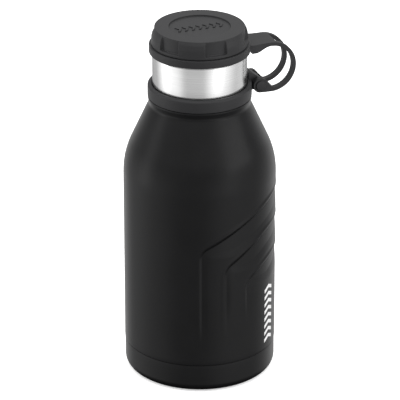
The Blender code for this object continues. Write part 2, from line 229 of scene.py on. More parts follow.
def settle(piece):
    """Replace a piece's mesh by what its modifiers make of it."""
    bpy.context.view_layer.update()
    graph = bpy.context.evaluated_depsgraph_get()
    mesh = bpy.data.meshes.new_from_object(piece.evaluated_get(graph))
    piece.modifiers.clear()
    piece.data = mesh


# ---------------------------------------------------------------- finishes

class Signal:
    """A node's output socket, for use in Python expressions."""

    def __init__(self, finish, socket):
        self.finish = finish
        self.socket = socket

    def maths(self, operation, *values):
        return self.finish.node("ShaderNodeMath", {"operation": operation}, dict(enumerate(values)))

    def __add__(self, other):
        return self.maths("ADD", self, other)

    def __radd__(self, other):
        return self.maths("ADD", other, self)

    def __sub__(self, other):
        return self.maths("SUBTRACT", self, other)

    def __rsub__(self, other):
        return self.maths("SUBTRACT", other, self)

    def __mul__(self, other):
        return self.maths("MULTIPLY", self, other)

    def __rmul__(self, other):
        return self.maths("MULTIPLY", other, self)

    def __truediv__(self, other):
        return self.maths("DIVIDE", self, other)

    def __gt__(self, other):
        return self.maths("GREATER_THAN", self, other)

    def __lt__(self, other):
        return self.maths("LESS_THAN", self, other)

    def __abs__(self):
        return self.maths("ABSOLUTE", self)

    def fraction(self):
        return self.maths("FRACT", self)

    def ramp(self, low, high):
        """0 below low, 1 above high, smooth between."""
        settings = {"interpolation_type": "SMOOTHSTEP"}
        inputs = {"Value": self, "From Min": low, "From Max": high}
        return self.finish.node("ShaderNodeMapRange", settings, inputs)


class Finish:
    """A Principled material whose nodes all come from one method."""

    def __init__(self, name, colour, roughness, metallic=0.0, **sockets):
        self.material = bpy.data.materials.new(name)
        self.material.use_nodes = True
        self.tree = self.material.node_tree
        self.shader = self.tree.nodes["Principled BSDF"]
        self.shader.inputs["Base Color"].default_value = (*colour, 1.0)
        self.shader.inputs["Roughness"].default_value = roughness
        self.shader.inputs["Metallic"].default_value = metallic
        for socket, value in sockets.items():
            self.shader.inputs[socket].default_value = value
        self.place = self.node("ShaderNodeTexCoord", {}, {}, "Object")

    def node(self, kind, settings, inputs, output=0):
        """A node of that kind with its settings made and its sockets set or linked."""
        made = self.tree.nodes.new(kind)
        for setting, value in settings.items():
            setattr(made, setting, value)
        for socket, value in inputs.items():
            if isinstance(value, Signal):
                self.tree.links.new(value.socket, made.inputs[socket])
            else:
                made.inputs[socket].default_value = value
        return Signal(self, made.outputs[output])

    def parts(self, vector=None):
        """The X, Y and Z of a vector, or of the place on the piece."""
        vector = vector or self.place
        return [self.node("ShaderNodeSeparateXYZ", {}, {0: vector}, axis) for axis in "XYZ"]

    def stretched(self, scale):
        """The place on the piece with each axis scaled."""
        return self.node("ShaderNodeMapping", {}, {"Vector": self.place, "Scale": scale})

    def noise(self, scale, detail=3.0, roughness=0.5, vector=None):
        inputs = {"Vector": vector or self.place, "Scale": scale}
        inputs.update({"Detail": detail, "Roughness": roughness})
        return self.node("ShaderNodeTexNoise", {}, inputs, "Fac")

    def mix(self, factor, first, second):
        """Two colours mixed by a factor."""
        colours = [c if isinstance(c, Signal) else (*c, 1.0) for c in (first, second)]
        inputs = {0: factor, 6: colours[0], 7: colours[1]}
        return self.node("ShaderNodeMix", {"data_type": "RGBA"}, inputs, 2)

    def feed(self, socket, signal):
        self.tree.links.new(signal.socket, self.shader.inputs[socket])

    def bump(self, height, distance, strength=1.0):
        inputs = {"Height": height, "Distance": distance, "Strength": strength}
        self.feed("Normal", self.node("ShaderNodeBump", {}, inputs))


def shaded(colour, factor):
    return tuple(min(1.0, channel * factor) for channel in colour)


def powder_coat(name, colour, print_colour=None, print_box=None):
    """Satin black powder coat: fine orange peel, faint mottling and, where asked, a print."""
    finish = Finish(name, colour, 0.36, IOR=1.24)
    fine = finish.noise(1500.0, 2.0, 0.6)
    broad = finish.noise(45.0, 3.0, 0.5)
    peel = finish.noise(620.0, 2.0, 0.5)
    base = finish.mix(broad.ramp(0.30, 0.70), shaded(colour, 0.92), shaded(colour, 1.08))
    base = finish.mix(fine.ramp(0.62, 0.80), base, shaded(colour, 1.35))
    roughness = 0.30 + 0.06 * broad + 0.04 * fine
    if print_box:
        mask = chevron_mask(finish, *print_box)
        base = finish.mix(mask, base, print_colour)
        roughness = roughness + 0.10 * mask
    finish.feed("Base Color", base)
    finish.feed("Roughness", roughness)
    finish.bump(0.6 * peel + 0.4 * fine, 0.00006)
    return finish.material


def chevron_mask(finish, middle_deg, radius, half_width, low_z, high_z, count):
    """1 on a column of chevrons wrapped on the wall, 0 elsewhere."""
    x, y, z = finish.parts()
    middle = math.radians(middle_deg)
    ahead = x * math.cos(middle) + y * math.sin(middle)
    side = y * math.cos(middle) - x * math.sin(middle)
    across = finish.node("ShaderNodeMath", {"operation": "ARCTAN2"}, {0: side, 1: ahead}) * radius
    pitch = (high_z - low_z) / count
    rise = 0.45
    level = (z + abs(across) * rise - low_z) / pitch
    stroke = (level.fraction() < 0.50) * (level > 0.0) * (level < float(count))
    return stroke * (abs(across) < half_width)


def moulded_plastic(name, colour, roughness=0.5):
    """Charcoal plastic from a spark-eroded mould: an even fine grain with faint flow marks."""
    finish = Finish(name, colour, roughness, IOR=1.34)
    grain = finish.noise(2200.0, 2.0, 0.6)
    coarse = finish.noise(750.0, 2.0, 0.5)
    flow = finish.noise(38.0, 4.0, 0.55)
    base = finish.mix(flow.ramp(0.30, 0.72), shaded(colour, 0.93), shaded(colour, 1.08))
    base = finish.mix(grain.ramp(0.60, 0.80), base, shaded(colour, 1.30))
    finish.feed("Base Color", base)
    finish.feed("Roughness", roughness - 0.06 + 0.08 * flow + 0.06 * grain)
    finish.bump(0.5 * grain + 0.5 * coarse, 0.00007)
    return finish.material


def turned_steel(name, colour, roughness, line_depth):
    """Bright steel with fine lines that run round the axis."""
    finish = Finish(name, colour, roughness, 1.0, **{"Specular Tint": (0.42, 0.42, 0.42, 1.0)})
    level = {0: finish.place, 1: (8.0, 8.0, 0.0)}
    level = finish.node("ShaderNodeVectorMath", {"operation": "MULTIPLY"}, level)
    lines = finish.noise(1.0, 2.0, 0.6, vector=finish.stretched((14.0, 14.0, 5200.0)))
    broad = finish.noise(1.0, 2.0, 0.5, vector=finish.stretched((10.0, 10.0, 420.0)))
    cloud = finish.noise(1.0, 2.0, 0.5, vector=level)
    base = finish.mix(lines.ramp(0.35, 0.70), shaded(colour, 0.94), shaded(colour, 1.05))
    finish.feed("Base Color", base)
    finish.feed("Roughness", roughness - 0.05 + 0.06 * lines + 0.04 * broad + 0.02 * cloud)
    finish.bump(lines, line_depth, 0.6)
    return finish.material


def speckled(name, colour, roughness, scale, depth, metallic=0.0, spread=0.12, **sockets):
    """A plain material with a fine, slightly uneven colour and surface."""
    finish = Finish(name, colour, roughness, metallic, **sockets)
    grain = finish.noise(scale, 3.0, 0.6)
    broad = finish.noise(scale * 0.06, 2.0, 0.5)
    dark, light = shaded(colour, 1.0 - spread), shaded(colour, 1.0 + spread)
    base = finish.mix(grain.ramp(0.30, 0.70), dark, light)
    finish.feed("Base Color", base)
    finish.feed("Roughness", roughness - 0.04 + 0.08 * broad)
    finish.bump(grain, depth)
    return finish.material


FINISHES = {}


def finish_of(kind):
    """The shared material of that kind, made the first time it is asked for."""
    colours = bpy.context.scene.growler_finishes
    makers = {
        "plastic": lambda: moulded_plastic("charcoal_plastic", tuple(colours.plastic)),
        "coating": lambda: powder_coat("satin_coating", tuple(colours.coating)),
        "steel": lambda: turned_steel("turned_steel", tuple(colours.steel), 0.24, 0.000012),
        "liner": lambda: turned_steel("liner_steel", tuple(colours.steel), 0.32, 0.000016),
        "rubber": lambda: speckled("pad_rubber", tuple(colours.coating), 0.75, 900.0, 0.00008),
        "silicone": lambda: speckled("gasket_silicone", (0.55, 0.55, 0.53), 0.5, 700.0, 0.00002),
        "foam": lambda: speckled("foam", (0.75, 0.72, 0.60), 0.9, 500.0, 0.0002),
        "foil": lambda: speckled("foil", (0.80, 0.55, 0.40), 0.22, 260.0, 0.0001, 1.0),
        "sheet": lambda: speckled("sheet_steel", (0.55, 0.55, 0.56), 0.38, 400.0, 0.00002, 1.0),
        "glass": lambda: speckled("sealing_glass", (0.10, 0.12, 0.14), 0.15, 300.0, 0.00001),
        "getter": lambda: speckled("getter_grey", (0.12, 0.12, 0.12), 0.7, 1500.0, 0.0001),
    }
    if kind not in FINISHES:
        FINISHES[kind] = makers[kind]()
    return FINISHES[kind]


# ---------------------------------------------------------------- properties

def outer_radius(node):
    """The largest X that a CAD node reaches."""
    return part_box(node)[1][0]


class GrowlerSizes(PropertyGroup):
    body_radius: FloatProperty(
        name="Body radius",
        description="Radius of the straight part of the coated wall",
        default=outer_radius("outer_shell"),
        unit="LENGTH",
    )
    seam_height: FloatProperty(
        name="Seam height",
        description="Height of the joint between the wall and the base cup",
        default=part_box("base_cup")[1][2],
        unit="LENGTH",
    )
    shoulder_height: FloatProperty(
        name="Shoulder height",
        description="Height where the wall starts to curve in",
        default=0.1660,
        unit="LENGTH",
    )
    shoulder_bend: FloatProperty(
        name="Shoulder bend",
        description="Radius of the curve between the wall and the cone",
        default=0.0650,
        unit="LENGTH",
    )
    cone_angle: FloatProperty(
        name="Cone angle",
        description="Slope of the shoulder cone from the vertical",
        default=math.radians(25.0),
        subtype="ANGLE",
    )
    relief_depth: FloatProperty(
        name="Relief depth",
        description="Depth of the stepped arches pressed into the wall",
        default=0.0026,
        unit="LENGTH",
    )
    thread_lead: FloatProperty(
        name="Thread lead",
        description="Rise of the cap for each whole turn",
        default=0.0090,
        unit="LENGTH",
    )
    grip_depth: FloatProperty(
        name="Grip depth",
        description="Depth of the finger recesses round the knob",
        default=0.0025,
        unit="LENGTH",
    )
    grip_count: IntProperty(
        name="Grips",
        description="Number of finger recesses round the knob",
        default=6,
        min=3,
    )
    print_count: IntProperty(
        name="Printed chevrons",
        description="Number of chevrons in the printed column",
        default=8,
        min=1,
    )


class GrowlerFinishes(PropertyGroup):
    coating: FloatVectorProperty(
        name="Coating",
        description="Colour of the powder coat",
        default=(0.007, 0.007, 0.0074),
        subtype="COLOR",
    )
    plastic: FloatVectorProperty(
        name="Plastic",
        description="Colour of the cap, strap and collar",
        default=(0.0195, 0.0195, 0.0207),
        subtype="COLOR",
    )
    steel: FloatVectorProperty(
        name="Steel",
        description="Colour of the bare steel",
        default=(0.68, 0.68, 0.68),
        subtype="COLOR",
    )
    print_colour: FloatVectorProperty(
        name="Print",
        description="Colour of the printed column",
        default=(0.82, 0.82, 0.82),
        subtype="COLOR",
    )


# ---------------------------------------------------------------- the coated wall

# Each arch: half width, foot height, crown height, the distance from the middle where
# the crown starts to fall, how softly and how steeply.
ARCHES = (
    (0.1148, 0.0440, 0.1580, 0.0500, 0.0150, 0.55),
    (0.0950, 0.0480, 0.1313, 0.0540, 0.0080, 0.60),
    (0.0764, 0.0580, 0.1066, 0.0520, 0.0100, 0.60),
)


def arch_depth(across, height, arch):
    """How far an arch's step presses the wall in, as a share of the full depth.

    The crown's line is z = crown - steep * soft * ln(1 + e^((|s| - start) / soft)). A
    point's distance inside the arch is that to the crown's line or to the upright,
    with their corner rounded, and the step falls sharply there and ramps back slowly.
    """
    half, foot, crown, start, soft, steep = arch
    s = np.abs(across)
    fall = np.logaddexp(0.0, (s - start) / soft)
    slope = steep / (1.0 + np.exp(-(s - start) / soft))
    below = (crown - steep * soft * fall - height) / np.sqrt(1.0 + slope * slope)
    beside = half - s
    corner = 0.006
    near = np.hypot(np.maximum(corner - below, 0.0), np.maximum(corner - beside, 0.0))
    inside = np.maximum(corner, np.minimum(below, beside)) - near
    share = smooth(-0.004, 0.022, beside - 0.55 * below)
    length = 0.0045 + 0.0105 * share
    depth = 0.34 + 0.66 * share * smooth(-0.010, 0.030, beside)
    depth = depth * smooth(foot - 0.006, foot + 0.030, height)
    depth = depth * (0.22 + 0.78 * smooth(0.015, 0.048, s))
    width = 0.0016 + 0.0028 * share
    step = smooth(0.0, 1.0, inside / width)
    ramp = np.clip(1.0 - (inside - width) / length, 0.0, 1.0)
    lip = 0.22 * np.exp(-((inside + 0.0014) / 0.0013) ** 2)
    return depth * (step * ramp ** 1.3 - lip)


def wall_profile(sizes):
    """The wall's outer line above its straight part: the bend, then the cone and the bead."""
    bend, foot = sizes.shoulder_bend, sizes.shoulder_height
    middle = (sizes.body_radius - bend, foot)
    curve = arc(middle, (bend, bend), 0.0, math.degrees(sizes.cone_angle), 22)
    end_r, end_z = curve[-1]
    foot_z, top_z, bead_r = 0.2258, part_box("outer_shell")[1][2], 0.0403
    foot_r = end_r - (foot_z - end_z) * math.tan(sizes.cone_angle)
    cone = spaced([(end_r, end_z), (foot_r + 0.00306, foot_z - 0.0060)], 0.004)
    corners = [cone[-1], (foot_r + 0.00076, foot_z - 0.0015), (bead_r, foot_z + 0.0030)]
    corners += [(bead_r, top_z), (0.0362, top_z)]
    bead = rounded(corners, [0.0, 0.0045, 0.0010, 0.0005, 0.0], steps=6)
    return curve, np.vstack([cone[1:-1], bead])


def make_wall():
    sizes, colours = bpy.context.scene.growler_sizes, bpy.context.scene.growler_finishes
    r, seam = sizes.body_radius, sizes.seam_height + 0.0003
    curve, cone = wall_profile(sizes)
    edge = rounded([(r - 0.0015, seam), (r, seam), (r, seam + 0.004)], 0.0004, steps=4)
    low = np.array([[r, 0.0320], [r, 0.0370]])
    relief = np.stack([np.full(162, r), np.linspace(0.0400, 0.1605, 162)], axis=1)
    outer = np.vstack([edge, low, relief, curve, cone])
    thick = 0.0005
    lean = np.array([math.cos(sizes.cone_angle), math.sin(sizes.cone_angle)]) * thick
    under = [0.0362, cone[-1][1] - thick]
    straight = [[r - thick, curve[0][1]], [r - 0.0015, seam + 0.004]]
    inner = np.vstack([under, curve[-1] - lean, straight])
    profile = np.vstack([outer, inner])
    dense = np.radians(np.arange(-118.0, 118.01, 0.64))
    plain = np.radians(np.arange(120.0, 240.01, 3.0))
    angles = np.concatenate([dense, plain])
    grid = revolve(profile, angles)
    across = np.where(angles > math.pi, angles - TURN, angles)[None, :] * r
    height = profile[:, 1][:, None]
    depth = sum(arch_depth(across, height, arch) for arch in ARCHES)
    pressed = depth * sizes.relief_depth
    # The back stays plain, so it covers the arches wherever they are deeper than the wall.
    pressed[len(outer):] = 0.0
    shrink = 1.0 - pressed / profile[:, 0][:, None]
    grid[..., :2] *= shrink[..., None]
    piece = build("coated_wall", [grid_shell(grid, close_rows=True)])
    box = (-45.0, r, 0.0065, 0.0322, 0.0818, sizes.print_count)
    coat, ink = tuple(colours.coating), tuple(colours.print_colour)
    finish = powder_coat("printed_coating", coat, ink, box)
    finish_piece(piece, finish, "bottle", "coating", "outer_shell")


# ---------------------------------------------------------------- base, neck and liner

def make_base():
    """The base cup, whose foot is a quarter oval, and the grooved pad under it."""
    top = bpy.context.scene.growler_sizes.seam_height
    cup_r = outer_radius("base_cup")
    pad_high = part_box("foot_pad")[1]
    pad_r, pad_z = pad_high[0], pad_high[2]
    foot_r, foot_z, curve_z = 0.0543, 0.0006, 0.0072
    rim = rounded([(cup_r - 0.0010, top), (cup_r, top), (cup_r, top - 0.004)], 0.0004, steps=4)
    foot = arc((foot_r, curve_z), (cup_r - foot_r, curve_z - foot_z), 0.0, -90.0, 20)
    recess = pad_z + 0.0003
    step = [(foot_r - 0.0002, foot_z), (pad_r + 0.0003, foot_z), (pad_r + 0.0003, recess)]
    under = rounded(step, 0.0002)
    hollow = (cup_r - foot_r - 0.001, curve_z - recess - 0.001)
    inside = arc((foot_r, curve_z), hollow, -90.0, 0.0, 8)
    floor = np.array([[0.0, recess], [0.0, recess + 0.001]])
    profile = np.vstack([rim, foot, under, floor, inside, [[cup_r - 0.001, top - 0.002]]])
    cup = build("base_cup_skin", [turned_shell(profile, closed=True)])
    finish_piece(cup, finish_of("coating"), "bottle", "coating", "base_cup")
    ridges = np.linspace(pad_r - 0.0012, 0.0, 420)
    wave = 0.00035 * smooth(0.25, 0.75, 0.5 - 0.5 * np.cos(TURN * ridges / 0.0042))
    wave *= smooth(0.012, 0.013, ridges) * smooth(0.0, 0.0030, pad_r - ridges)
    face = np.stack([ridges, wave], axis=1)
    edge = rounded([(0.0, pad_z), (pad_r, pad_z), (pad_r, 0.0), (pad_r - 0.0011, 0.0)], 0.0005)
    pad = build("foot_pad_skin", [turned_shell(np.vstack([edge, face]))])
    finish_piece(pad, finish_of("rubber"), "bottle", "pad_rubber", "foot_pad")


def make_neck():
    low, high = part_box("neck_shell")
    r, wall = high[0], 0.0005
    top = high[2] + 0.00015
    section = [(r, low[2]), (r, top), (r - wall, top), (r - wall, low[2])]
    profile = rounded(section, 0.00008, closed=True, steps=2)
    piece = build("neck_band", [turned_shell(profile, closed=True, steps=256)])
    finish_piece(piece, finish_of("steel"), "bottle", "brushed_steel", "neck_shell")


def threads(radius, start_z, lead, thick=0.0008):
    return [helix_shell(radius, start_z, lead, 220.0, start, thick) for start in (0.0, 180.0)]


def make_liner():
    """The inner bottle, wall 0.5 mm, with its rolled lip and the thread inside the mouth."""
    low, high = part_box("inner_liner")
    foot, lip_z, lip_r = low[2], high[2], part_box("neck_shell")[1][0]
    r, neck_r, wall, bend, start = 0.0552, 0.0322, 0.0005, 0.0600, 0.1680
    slope = math.tan(math.radians(25.0))

    def side(radius, curve_r, end_r):
        curve = arc((radius - curve_r, start), (curve_r, curve_r), 0.0, 25.0, 14)
        meet = curve[-1][1] + (curve[-1][0] - end_r) / slope
        return np.vstack([[[radius, foot]], curve, [[end_r, meet], [end_r, 0.2500]]])

    outer, inner = side(r, bend, neck_r), side(r - wall, bend - wall, neck_r - wall)
    corners = [(neck_r, 0.2640), (neck_r, lip_z - 0.0008), (lip_r, lip_z - 0.0008), (lip_r, lip_z)]
    corners += [(neck_r - wall, lip_z), (neck_r - wall, 0.2600)]
    lip = rounded(corners, [0.0, 0.0004, 0.0001, 0.0006, 0.0007, 0.0])
    profile = np.vstack([outer, lip, inner[::-1]])
    lead = bpy.context.scene.growler_sizes.thread_lead
    shells = [turned_shell(profile, closed=True)] + threads(0.0313, 0.2562, lead)
    piece = build("liner_with_lip", shells)
    finish_piece(piece, finish_of("liner"), "bottle", "liner_steel", "inner_liner")


# ---------------------------------------------------------------- collar and strap

PIN = (0.0460, 0.2351)


def make_collar():
    top, bottom, r, bore = 0.2403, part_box("collar_ring")[0][2], 0.04045, 0.03715
    corners = [(bore, top), (0.0392, top), (r, top - 0.0012), (r, bottom), (bore, bottom)]
    section = rounded(corners, [0.0004, 0.0012, 0.0016, 0.0005, 0.0003], closed=True)
    ring = turned_shell(section, closed=True, steps=256)
    root, half = 0.0377, 0.0068
    eye = arc(PIN, (0.0047, 0.0047), 50.0, -90.0, 22)
    corners = [(root, PIN[1]), (root, 0.2446), (0.0410, 0.2446), tuple(eye[0])]
    head = rounded(corners, [0, 0.0010, 0.0016, 0])
    tongue = np.vstack([head, eye[1:], [[root, PIN[1] - 0.0047]]])
    shells = [ring, slab_shell(tongue, -half, half, 0.0006)]
    piece = build("collar_with_tongue", shells)
    finish_piece(piece, finish_of("plastic"), "collar", "charcoal_plastic", "collar_ring")


def make_pins():
    """The pin and its cap: each head is a disc with a rounded rim."""
    circle = arc(PIN, (0.0040, 0.0040), 0.0, 360.0, 48)[:-1]
    shank = arc(PIN, (0.0018, 0.0018), 0.0, 360.0, 32)[:-1]
    low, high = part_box("pivot_pin")
    head = slab_shell(circle, low[1], low[1] + 0.0011, 0.0004)
    pin = build("pin_with_head", [head, slab_shell(shank, low[1] + 0.0005, high[1], 0.0002)])
    finish_piece(pin, finish_of("plastic"), "collar", "charcoal_plastic", "pivot_pin")
    low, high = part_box("pin_cap")
    cap = build("pin_end", [slab_shell(circle, low[1], high[1], 0.0004)])
    finish_piece(cap, finish_of("plastic"), "collar", "charcoal_plastic", "pin_cap")


def strap_lines():
    """The strap's outer and inner lines in XZ, and where its long slot and fork lie.

    The tab runs out level, the loop is two arcs about one centre, and the ear is an
    arc about the pin.
    """
    centre, outer_r, inner_r, ear = (0.0550, 0.2494), 0.0204, 0.0174, 0.0058
    top = centre[1] + outer_r
    x = np.linspace(0.0, 1.0, 15)
    tab_out = np.stack([0.0364 + (centre[0] - 0.0364) * x, np.full(15, top)], axis=1)
    under = 0.2628 + (top - 0.0030 - 0.2628) * smooth(0.18, 0.95, x)
    tab_in = np.stack([0.0385 + (centre[0] - 0.0385) * x, under], axis=1)
    turn = np.concatenate([np.linspace(90.0, 77.0, 4)[1:], np.linspace(77.0, -83.0, 57)[1:]])
    loop_out = np.stack([np.cos(np.radians(turn)), np.sin(np.radians(turn))], axis=1)
    loop_in = np.array(centre) + inner_r * loop_out
    loop_out = np.array(centre) + outer_r * loop_out
    web_out = resampled([loop_out[-1], (0.0550, 0.2290), (0.0514, 0.2291)], 7)[1:]
    web_in = rounded([loop_in[-1], (0.0545, 0.2335), (0.0514, 0.2376)], [0, 0.006, 0])
    web_in = resampled(web_in, 7)[1:]
    ear_out = np.vstack([web_out[-1:], arc(PIN, (ear, ear), -90.0, -215.0, 24)])
    ear_in = np.vstack([web_in[-1:], arc(PIN, (ear, ear), 30.0, 125.0, 20)])
    ear_out, ear_in = resampled(ear_out, 26)[1:], resampled(ear_in, 26)[1:]
    outer = np.vstack([tab_out, loop_out, web_out, ear_out])
    inner = np.vstack([tab_in, loop_in, web_in, ear_in])
    slot_from = len(tab_out) + 2
    slot_to = len(tab_out) + len(loop_out) - 1
    return outer, inner, (slot_from, slot_to), slot_to + len(web_out)


def strap_shell():
    """The strap: two layers on a grid of (along, across), open where the slot and fork are.

    Cell walls are added wherever a kept cell has no kept neighbour.
    """
    outer, inner, slot, fork = strap_lines()
    half, rail = 0.0119, 0.00715
    across = np.array([-half, -0.0111, -0.0079, -rail, -0.0035, 0.0035, rail, 0.0079, 0.0111, half])
    widen = 1.0 + 0.084 * (1.0 - smooth(0.0400, 0.0500, outer[:, 0])) * (outer[:, 1] > 0.2600)
    rows, columns = len(outer), len(across)

    def layer(line):
        x = np.broadcast_to(line[:, 0][:, None], (rows, columns))
        z = np.broadcast_to(line[:, 1][:, None], (rows, columns))
        return np.stack([x, across[None, :] * widen[:, None], z], axis=-1)

    points = np.vstack([layer(outer).reshape(-1, 3), layer(inner).reshape(-1, 3)])
    upper = np.arange(rows * columns).reshape(rows, columns)
    lower = upper + rows * columns
    row = np.arange(rows - 1)[:, None]
    middle = (np.abs((across[:-1] + across[1:]) / 2) < rail)[None, :]
    open_row = ((row >= slot[0]) & (row < slot[1])) | (row >= fork)
    keep = ~(open_row & middle)

    def cells(index, mask):
        quads = np.stack([index[:-1, :-1], index[:-1, 1:], index[1:, 1:], index[1:, :-1]], axis=-1)
        return quads[mask]

    padded = np.pad(keep, 1)
    sides = (
        (padded[:-2, 1:-1], np.s_[:-1, :-1], np.s_[:-1, 1:]),
        (padded[2:, 1:-1], np.s_[1:, :-1], np.s_[1:, 1:]),
        (padded[1:-1, :-2], np.s_[:-1, :-1], np.s_[1:, :-1]),
        (padded[1:-1, 2:], np.s_[:-1, 1:], np.s_[1:, 1:]),
    )
    walls = [
        np.stack([upper[one], upper[two], lower[two], lower[one]], axis=-1)[keep & ~neighbour]
        for neighbour, one, two in sides
    ]
    faces = np.vstack([cells(upper, keep), cells(lower, keep)[:, ::-1]] + walls)
    used, compact = np.unique(faces, return_inverse=True)
    return points[used], compact.reshape(faces.shape).tolist()


def make_strap():
    piece = build("looped_strap", [strap_shell()])
    bevel = piece.modifiers.new("soft_edges", "BEVEL")
    bevel.width = 0.0006
    bevel.segments = 3
    bevel.limit_method = "ANGLE"
    bevel.angle_limit = math.radians(40.0)
    piece.modifiers.new("even_shading", "WEIGHTED_NORMAL")
    settle(piece)
    piece.data.materials.append(finish_of("plastic"))
    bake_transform(piece)
    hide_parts("tether_strap")


def make_tether_ring():
    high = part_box("tether_ring")[1]
    r, bottom, top, skirt, bore, lip = 0.0392, 0.2664, high[2], 0.0357, 0.0334, 0.27035
    corners = [(bore, top), (r, top), (r, bottom), (skirt, bottom), (skirt, lip), (bore, lip)]
    section = rounded(corners, [0.0003, 0.0006, 0.0005, 0.0004, 0.0002, 0.0003], closed=True)
    piece = build("tether_ring_band", [turned_shell(section, closed=True, steps=256)])
    finish_piece(piece, finish_of("plastic"), "ring", "charcoal_plastic", "tether_ring")


# ---------------------------------------------------------------- cap

def grip_mask(angles, heights, sizes):
    """1 inside the finger recesses, with soft edges, over a grid of heights and angles."""
    step = TURN / sizes.grip_count
    from_middle = np.abs((angles + step / 2) % step - step / 2)[None, :]
    sides = 1.0 - smooth(math.radians(12.9), math.radians(13.9), from_middle)
    floor = smooth(0.27495, 0.27555, heights)[:, None]
    return sides * floor


def make_knob():
    sizes = bpy.context.scene.growler_sizes
    low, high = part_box("cap_shell")
    top, disc_r, disc_z = high[2], 0.0236, high[2] - 0.0013
    corners = [(0.0, disc_z), (disc_r, disc_z), (disc_r + 0.0002, top), (0.0348, top)]
    corners += [(0.0363, top - 0.0027), (0.0373, 0.2800), (0.0375, 0.2729), (0.0331, 0.2729)]
    corners += [(0.0331, low[2]), (0.0286, low[2])]
    corners += [(0.0286, 0.2752), (0.0326, 0.2752), (0.0326, 0.2834), (0.0, 0.2834)]
    radii = [0, 0.0004, 0.0005, 0.0005, 0.0060, 0.0100, 0.0005, 0.0002, 0.0003, 0.0003, 0, 0, 0, 0]
    profile = rounded(corners, radii, steps=8)
    side = (profile[:, 0] > 0.0335) & (profile[:, 1] > 0.2725)
    first, last = np.flatnonzero(side)[0], np.flatnonzero(side)[-1]
    outside = spaced(profile[first:last + 1], 0.0003)
    profile = np.vstack([profile[:first], outside, profile[last + 1:]])
    angles = ring_angles(720)
    grid = revolve(profile, angles)
    mask = grip_mask(angles - math.radians(30.0), profile[:, 1], sizes)
    mask = mask * (profile[:, 0] > 0.0335)[:, None]
    floor_r = outer_radius("cap_shell") - sizes.grip_depth
    cut = mask * np.maximum(profile[:, 0] - floor_r, 0.0)[:, None]
    grid[..., :2] *= (1.0 - cut / np.maximum(profile[:, 0], 1e-6)[:, None])[..., None]
    shells = [grid_shell(grid)] + disc_marks(disc_z)
    piece = build("knob", shells)
    finish_piece(piece, finish_of("plastic"), "cap", "charcoal_plastic", "cap_shell")


def disc_marks(disc_z):
    """A row of small raised chevrons across the recessed disc."""
    stroke, tall, point, count, pitch = 0.0020, 0.0040, 0.0022, 7, 0.0056
    chevron = np.array([(0.0, tall), (point, 0.0), (0.0, -tall)])
    outline = np.vstack([chevron, (chevron + np.array([stroke, 0.0]))[::-1]])
    outline = outline - np.array([(point + stroke) / 2, 0.0])
    starts = (np.arange(count) - (count - 1) / 2) * pitch
    low, high = disc_z - 0.0003, disc_z + 0.0007
    return [slab_shell(outline + (x, 0.0), low, high, 0.0002, "XY", 2) for x in starts]


def make_plug():
    """The stopper: a cup with a flange and two helical ridges."""
    low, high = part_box("cap_plug")
    core, bore, floor = 0.0299, 0.0282, 0.2536
    flange_r, under = high[0], 0.2684
    corners = [(bore, high[2]), (flange_r, high[2]), (flange_r, under)]
    corners += [(core, under), (core, low[2]), (0.0, low[2])]
    outer = rounded(corners, [0, 0.0003, 0.0003, 0.0004, 0.0012, 0], steps=6)
    profile = np.vstack([outer, [[0.0, floor], [bore, floor]]])
    lead = bpy.context.scene.growler_sizes.thread_lead
    shells = [turned_shell(profile, closed=True)] + threads(0.0301, 0.2562 - lead / 4, lead)
    piece = build("stopper", shells)
    finish_piece(piece, finish_of("plastic"), "cap", "charcoal_plastic", "cap_plug")


def make_gasket():
    low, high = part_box("cap_gasket")
    section = [(0.0320, low[2]), (0.0346, low[2]), (0.0346, high[2]), (0.0320, high[2])]
    profile = rounded(section, 0.0006, closed=True)
    piece = build("gasket_ring", [turned_shell(profile, closed=True)])
    finish_piece(piece, finish_of("silicone"), "seal", "gasket_silicone", "cap_gasket")


HIDDEN = {
    "liner_bottom": "liner",
    "foil_wrap": "foil",
    "outer_bottom": "sheet",
    "vacuum_seal": "glass",
    "getter": "getter",
    "getter_clip": "sheet",
    "cap_insulation": "foam",
}


def dress_hidden():
    for node, kind in HIDDEN.items():
        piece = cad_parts[node]
        piece.data.materials.clear()
        piece.data.materials.append(finish_of(kind))


# ---------------------------------------------------------------- stage

VIEW_DEG = -110.1             # direction of the camera round the bottle from +X
CAMERA_OUT = 2.1331
CAMERA_UP = 1.1182
PITCH_DEG = 24.65
HORIZON, OVERHEAD = 0.30, 1.75  # strength of the dome low down and straight up
# Each bright wall: degrees round from the camera, reach, strength, and its share high up.
WALLS = (
    (0.0, 75.0, 0.43, 0.2),
    (-81.0, 50.0, 1.12, 0.2),
    (54.0, 46.0, 0.95, 0.2),
    (124.0, 46.0, 0.60, 0.1),
    (180.0, 75.0, 0.40, 0.1),
    (-158.0, 42.0, 0.34, 0.1),
)


def make_floor():
    """A flat pale sheet, 8 m square."""
    size = 4.0
    x, y = np.meshgrid(np.linspace(-size, size, 9), np.linspace(-size, size, 9), indexing="ij")
    grid = np.stack([x, y, np.zeros_like(x)], axis=-1)
    floor = build("floor", [grid_shell(grid, close_columns=False)])
    glow = {"Emission Color": (1.0, 1.0, 1.0, 1.0), "Emission Strength": 0.45}
    finish = Finish("pale_floor", (0.90, 0.90, 0.90), 0.7, **glow)
    cloud = finish.noise(3.0, 2.0)
    finish.feed("Base Color", finish.mix(cloud, (0.89, 0.89, 0.89), (0.91, 0.91, 0.91)))
    floor.data.materials.append(finish.material)
    floor.visible_glossy = False
    floor.visible_diffuse = False


